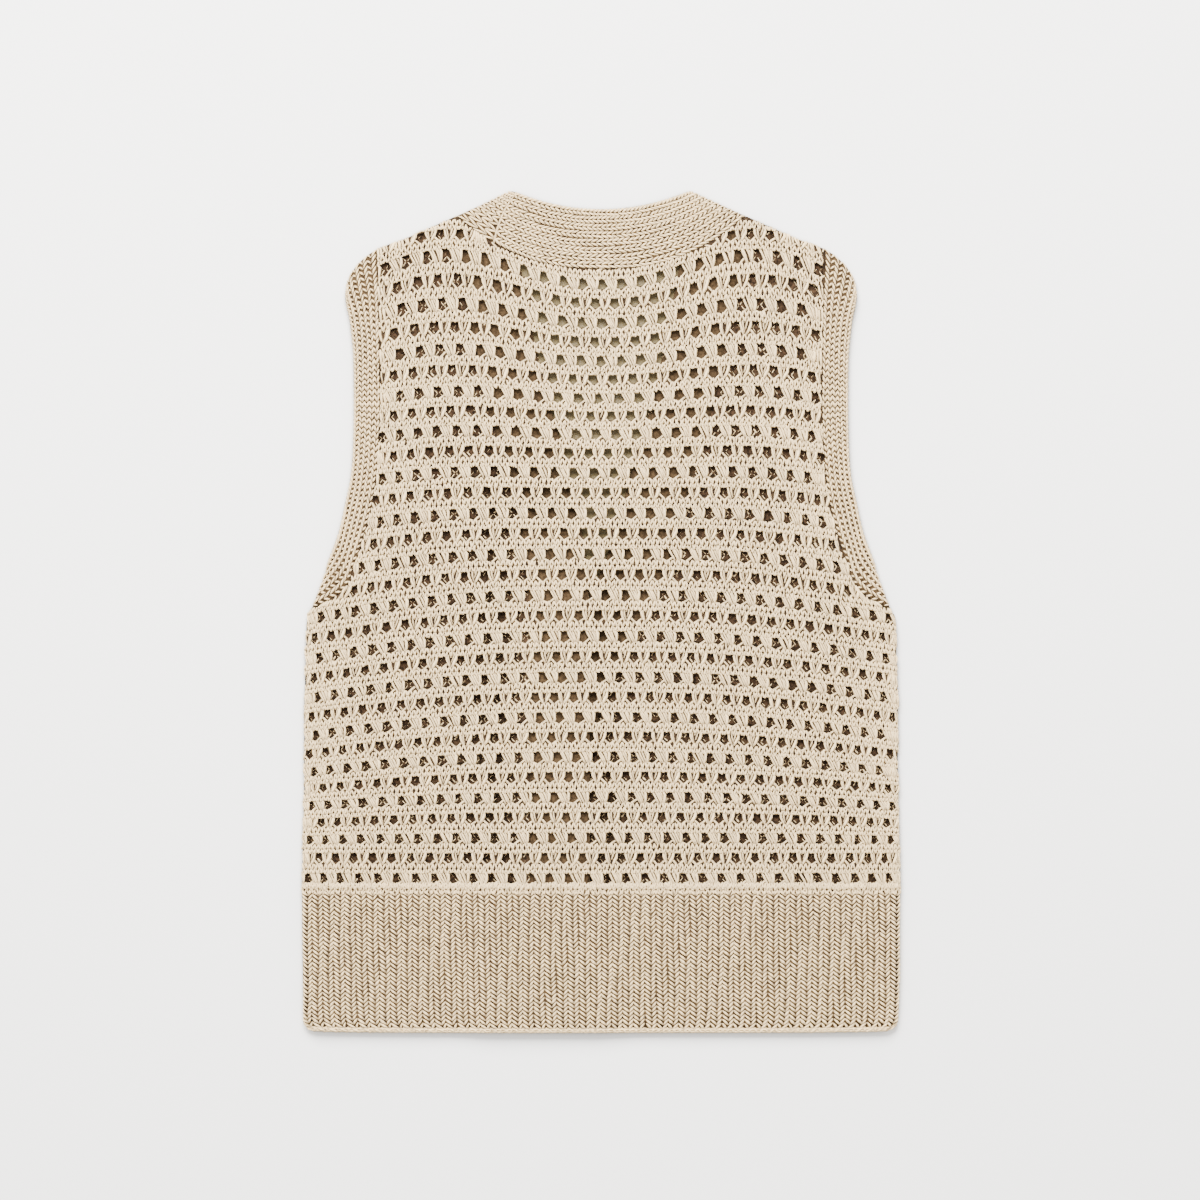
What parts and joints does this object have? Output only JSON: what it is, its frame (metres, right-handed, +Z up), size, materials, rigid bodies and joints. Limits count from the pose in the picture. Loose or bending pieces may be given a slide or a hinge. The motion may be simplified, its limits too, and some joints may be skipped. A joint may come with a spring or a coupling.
{
  "type": "sweater vest",
  "caption": "Open-knit V-neck sweater vest with ribbed hem, front bands and armhole bands, laid flat with its back upward.",
  "frame": {"origin": "on the surface that the vest rests on, under the middle of its outline", "axes": "+X across the vest to its right side seen from above, +Y from hem to neck, +Z up, with the back of the vest upward"},
  "size_m": [0.4782, 0.673, 0.0102],
  "materials": {
    "net_knit": "matte cotton net",
    "rib_knit": "matte cotton rib"
  },
  "bodies": {
    "root": {"back_panel": "net_knit", "back_hem_rib": "rib_knit", "left_front_panel": "net_knit", "right_front_panel": "net_knit", "left_front_hem_rib": "rib_knit", "right_front_hem_rib": "rib_knit", "left_front_band": "rib_knit", "right_front_and_neck_band": "rib_knit", "left_armhole_band": "rib_knit", "right_armhole_band": "rib_knit"}
  },
  "joints": []
}
